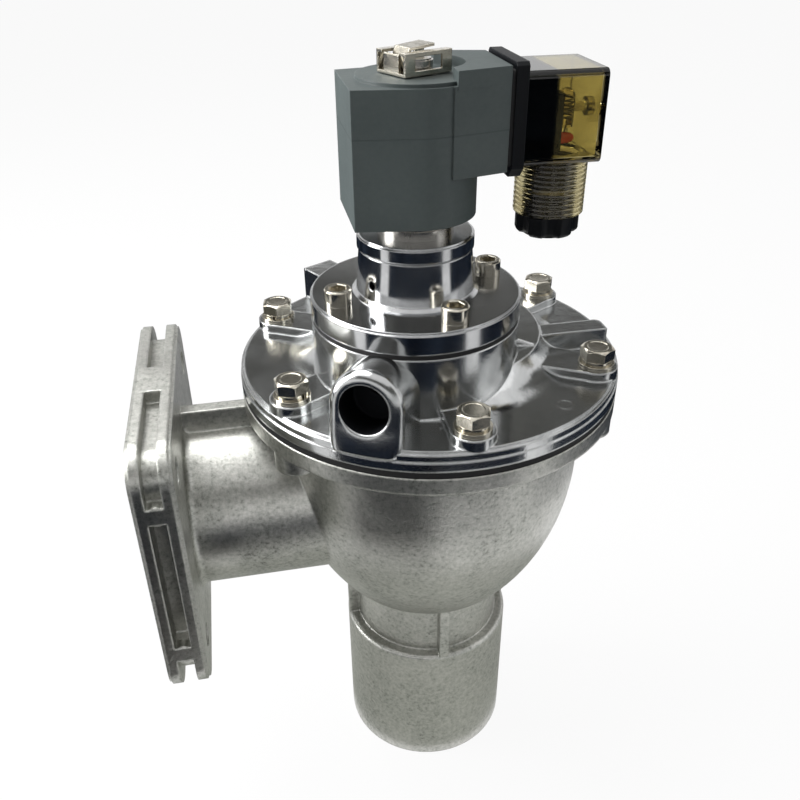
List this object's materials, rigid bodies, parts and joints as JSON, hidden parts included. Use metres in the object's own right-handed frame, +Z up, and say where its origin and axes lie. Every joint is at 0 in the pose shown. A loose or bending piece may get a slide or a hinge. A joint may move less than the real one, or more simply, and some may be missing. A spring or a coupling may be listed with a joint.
{
  "type": "pulse valve",
  "caption": "Right-angle diaphragm pulse valve with a square flanged inlet, a pipe-stub outlet, a two-stage pilot and a clip-held solenoid coil with a plug.",
  "frame": {"origin": "middle of the outlet tail's cut end", "axes": "+Z up along the axis of the body, through the main diaphragm and the cover; -X out of the inlet flange; +Y away from the exhaust port side"},
  "size_m": [0.1715, 0.134, 0.2875],
  "materials": {
    "cast_aluminium": "bead-blasted casting, matte and mottled",
    "polished_aluminium": "polished die casting",
    "machined_aluminium": "turned and polished",
    "black_rubber": "matte",
    "nickel_plate": "bright nickel plate",
    "spring_steel": "drawn wire",
    "stainless_steel": "turned, bright",
    "brass": "machined",
    "grey_plastic": "moulded, fine matte",
    "black_plastic": "moulded, semi-gloss",
    "amber_plastic": "clear amber, glossy",
    "lamp_glass": "clear, glossy",
    "red_lens": "glossy",
    "resistor_body": "lacquered"
  },
  "bodies": {
    "valve": {"body_casting": "cast_aluminium", "flange_o_ring": "black_rubber", "main_diaphragm": "black_rubber", "main_spring": "spring_steel", "valve_cover": "polished_aluminium", "cover_bolts": "nickel_plate", "cover_spring_washers": "nickel_plate", "cover_flat_washers": "nickel_plate", "pilot_diaphragm": "black_rubber", "pilot_spring": "spring_steel", "pilot_cover": "machined_aluminium", "pilot_cover_screws": "nickel_plate", "pilot_seat_bush": "brass", "plunger_tube": "stainless_steel", "tube_o_ring": "black_rubber", "fixed_core": "stainless_steel", "plunger_spring": "spring_steel", "cushion_ring": "black_rubber"},
    "main_disc": {"main_seat_pad": "black_rubber", "main_lower_plate": "machined_aluminium", "main_upper_plate": "machined_aluminium", "main_hub_screw": "nickel_plate", "main_hub_nut": "nickel_plate"},
    "pilot_disc": {"pilot_seat_pad": "black_rubber", "pilot_upper_plate": "brass", "pilot_hub_screw": "nickel_plate"},
    "armature": {"plunger": "stainless_steel", "plunger_seal": "black_rubber"},
    "coil": {"coil_moulding": "grey_plastic", "coil_clip": "nickel_plate", "coil_terminals": "brass", "connector_gasket": "black_rubber", "connector_base": "black_plastic", "connector_housing": "amber_plastic", "indicator_lamp": "lamp_glass", "indicator_led": "red_lens", "lamp_resistor": "resistor_body", "connector_screw": "nickel_plate", "gland_seal": "black_rubber", "gland_washer": "nickel_plate", "gland_nut": "black_plastic"}
  },
  "joints": [
    {"name": "main_lift", "type": "slide", "parent": "valve", "child": "main_disc", "axis": [0, 0, 1], "range_m": [0, 0.006], "stiffness_N_per_m": 1500, "springref_m": -0.006, "deforming": ["main_diaphragm", "main_spring"]},
    {"name": "pilot_lift", "type": "slide", "parent": "valve", "child": "pilot_disc", "axis": [0, 0, 1], "range_m": [0, 0.0024], "stiffness_N_per_m": 1000, "springref_m": -0.003, "deforming": ["pilot_diaphragm", "pilot_spring"]},
    {"name": "plunger_lift", "type": "slide", "parent": "valve", "child": "armature", "axis": [0, 0, 1], "range_m": [0, 0.0018], "stiffness_N_per_m": 400, "springref_m": -0.004, "deforming": ["plunger_spring"]},
    {"name": "coil_swivel", "type": "hinge", "parent": "valve", "child": "coil", "pos_m": [-0.00775, -0.01342, 0.2392], "axis": [0, 0, 1], "continuous": true}
  ]
}
